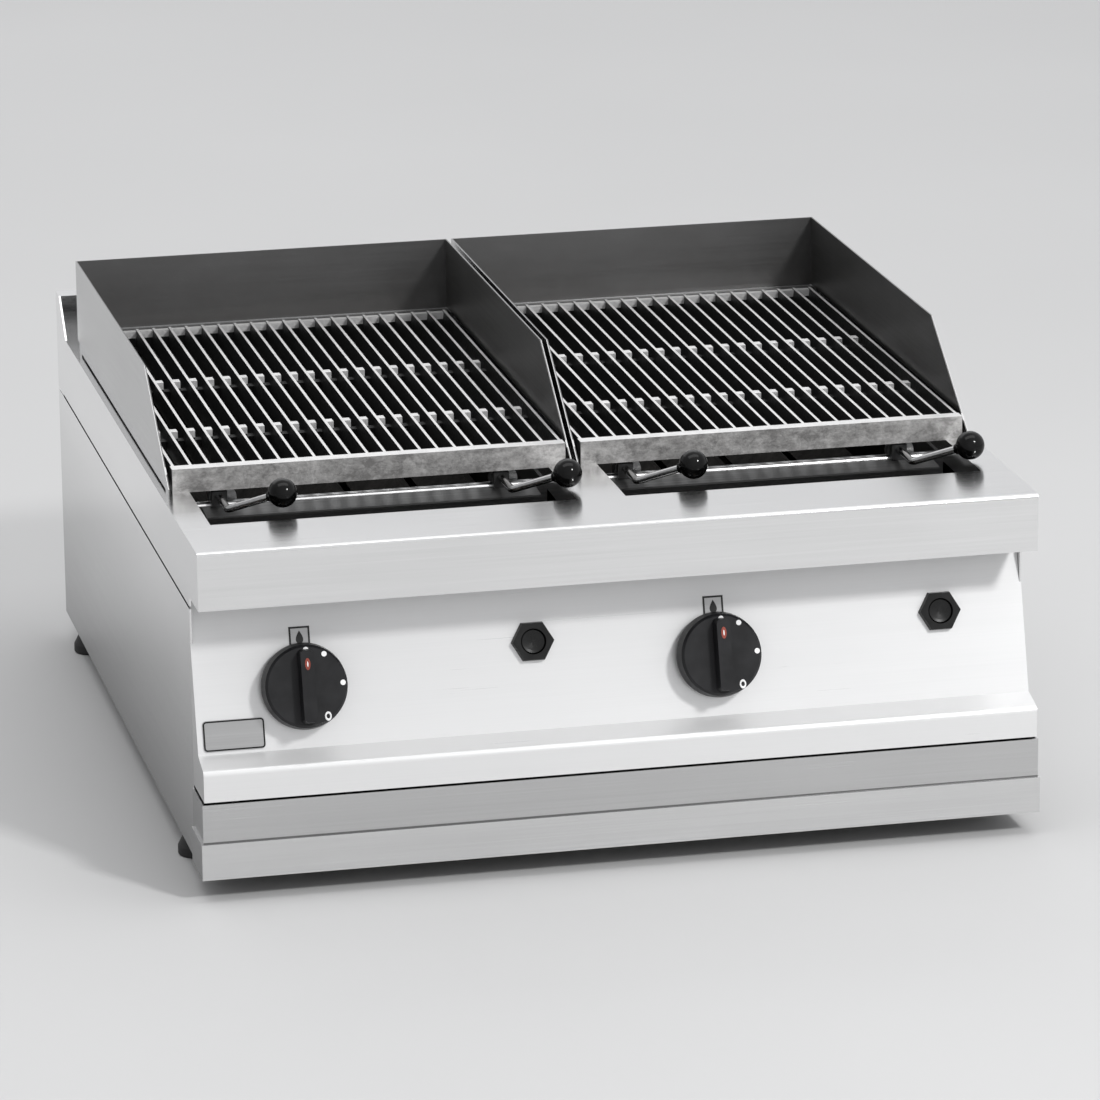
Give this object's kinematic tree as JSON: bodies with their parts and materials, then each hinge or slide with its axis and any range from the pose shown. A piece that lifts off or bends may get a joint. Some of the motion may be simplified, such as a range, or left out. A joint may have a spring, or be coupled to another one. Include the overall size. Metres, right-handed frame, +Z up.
{
  "type": "charbroiler grill",
  "caption": "Countertop gas charbroiler: lift-up cast grates inside splash guards over fireboxes, ball-ended levers, sloping panel with knobs and push igniters, short feet.",
  "frame": {"origin": "on the floor under the middle of the overall box", "axes": "+Z up, -Y to the front with the controls, +X to the right as seen from the front"},
  "size_m": [0.7, 0.775, 0.372],
  "materials": {
    "casing": "fine brushed along the width",
    "guards": "brushed, darker inside",
    "grates": "mottled bare casting, bright on the bar tops",
    "firebox": "dull rolled sheet",
    "burners": "heat-tinted tube",
    "radiants": "rough dark casting",
    "cranks": "polished round bar",
    "balls": "black gloss",
    "cams": "turned",
    "knobs": "satin black",
    "igniters": "satin black",
    "buttons": "black gloss",
    "gas_pipe": "zinc-grey pipe",
    "gas_brass": "machined brass",
    "fixings": "zinc-plated",
    "brackets": "heat-darkened lugs",
    "rails": "drawn bright bar",
    "electrodes": "glazed ceramic",
    "badge": "satin plate",
    "feet": "black moulded"
  },
  "bodies": {
    "casing": {"left_side_panel": "casing", "right_side_panel": "casing", "back_panel": "casing", "panel_screws": "fixings", "bottom_pan": "casing", "base_front_panel": "casing", "base_skirt": "casing", "control_fascia": "casing", "front_nose": "casing", "worktop": "casing", "rear_upstand": "casing", "flue_grille": "casing", "left_splash_guard": "guards", "left_firebox": "firebox", "left_burner": "burners", "left_radiant_rack": "radiants", "left_grease_tray": "firebox", "left_gas_valve": "gas_brass", "left_feed_pipe": "gas_pipe", "left_igniter_bezel": "igniters", "left_igniter_body": "igniters", "right_splash_guard": "guards", "right_firebox": "firebox", "right_burner": "burners", "right_radiant_rack": "radiants", "right_grease_tray": "firebox", "right_gas_valve": "gas_brass", "right_feed_pipe": "gas_pipe", "right_igniter_bezel": "igniters", "right_igniter_body": "igniters", "shaft_brackets": "brackets", "firebox_rails": "rails", "tray_runners": "firebox", "gas_manifold": "gas_pipe", "pilot_burners": "gas_brass", "spark_electrodes": "electrodes", "name_plate": "badge", "feet": "feet"},
    "left_grate": {"left_grate": "grates"},
    "left_crank_a": {"left_crank_a": "cranks", "left_ball_a": "balls", "left_cams_a": "cams"},
    "left_crank_b": {"left_crank_b": "cranks", "left_ball_b": "balls", "left_cams_b": "cams"},
    "left_knob_slide": {"left_push_collar": "fixings"},
    "left_knob": {"left_control_knob": "knobs", "left_valve_stem": "gas_brass"},
    "left_igniter": {"left_igniter_button": "buttons"},
    "right_grate": {"right_grate": "grates"},
    "right_crank_a": {"right_crank_a": "cranks", "right_ball_a": "balls", "right_cams_a": "cams"},
    "right_crank_b": {"right_crank_b": "cranks", "right_ball_b": "balls", "right_cams_b": "cams"},
    "right_knob_slide": {"right_push_collar": "fixings"},
    "right_knob": {"right_control_knob": "knobs", "right_valve_stem": "gas_brass"},
    "right_igniter": {"right_igniter_button": "buttons"}
  },
  "joints": [
    {"name": "left_grate_lift", "type": "slide", "parent": "casing", "child": "left_grate", "axis": [0, 0, 1], "range_m": [0, 0.0099]},
    {"name": "left_crank_a_turn", "type": "hinge", "parent": "casing", "child": "left_crank_a", "pos_m": [-0.297, 0.0185, 0.283], "axis": [0, -1, 0], "range_deg": [0, 90]},
    {"name": "left_crank_b_turn", "type": "hinge", "parent": "casing", "child": "left_crank_b", "pos_m": [-0.06, 0.0185, 0.283], "axis": [0, -1, 0], "range_deg": [0, 90]},
    {"name": "left_knob_push", "type": "slide", "parent": "casing", "child": "left_knob_slide", "axis": [0, 0.9613, -0.2756], "range_m": [0, 0.004], "stiffness_N_per_m": 900},
    {"name": "left_knob_turn", "type": "hinge", "parent": "left_knob_slide", "child": "left_knob", "pos_m": [-0.2585, -0.34874, 0.164], "axis": [0, -0.9613, 0.2756], "range_deg": [0, 210]},
    {"name": "left_igniter_press", "type": "slide", "parent": "casing", "child": "left_igniter", "axis": [0, 0.9613, -0.2756], "range_m": [0, 0.0045], "stiffness_N_per_m": 900},
    {"name": "right_grate_lift", "type": "slide", "parent": "casing", "child": "right_grate", "axis": [0, 0, 1], "range_m": [0, 0.0099]},
    {"name": "right_crank_a_turn", "type": "hinge", "parent": "casing", "child": "right_crank_a", "pos_m": [0.046, 0.0185, 0.283], "axis": [0, -1, 0], "range_deg": [0, 90]},
    {"name": "right_crank_b_turn", "type": "hinge", "parent": "casing", "child": "right_crank_b", "pos_m": [0.283, 0.0185, 0.283], "axis": [0, -1, 0], "range_deg": [0, 90]},
    {"name": "right_knob_push", "type": "slide", "parent": "casing", "child": "right_knob_slide", "axis": [0, 0.9613, -0.2756], "range_m": [0, 0.004], "stiffness_N_per_m": 900},
    {"name": "right_knob_turn", "type": "hinge", "parent": "right_knob_slide", "child": "right_knob", "pos_m": [0.0845, -0.34874, 0.164], "axis": [0, -0.9613, 0.2756], "range_deg": [0, 210]},
    {"name": "right_igniter_press", "type": "slide", "parent": "casing", "child": "right_igniter", "axis": [0, 0.9613, -0.2756], "range_m": [0, 0.0045], "stiffness_N_per_m": 900}
  ],
  "couplings": [
    {"joint": "left_crank_a_turn", "follows": "left_grate_lift", "rad_per_m": 158.6},
    {"joint": "left_crank_b_turn", "follows": "left_grate_lift", "rad_per_m": 158.6},
    {"joint": "right_crank_a_turn", "follows": "right_grate_lift", "rad_per_m": 158.6},
    {"joint": "right_crank_b_turn", "follows": "right_grate_lift", "rad_per_m": 158.6}
  ]
}
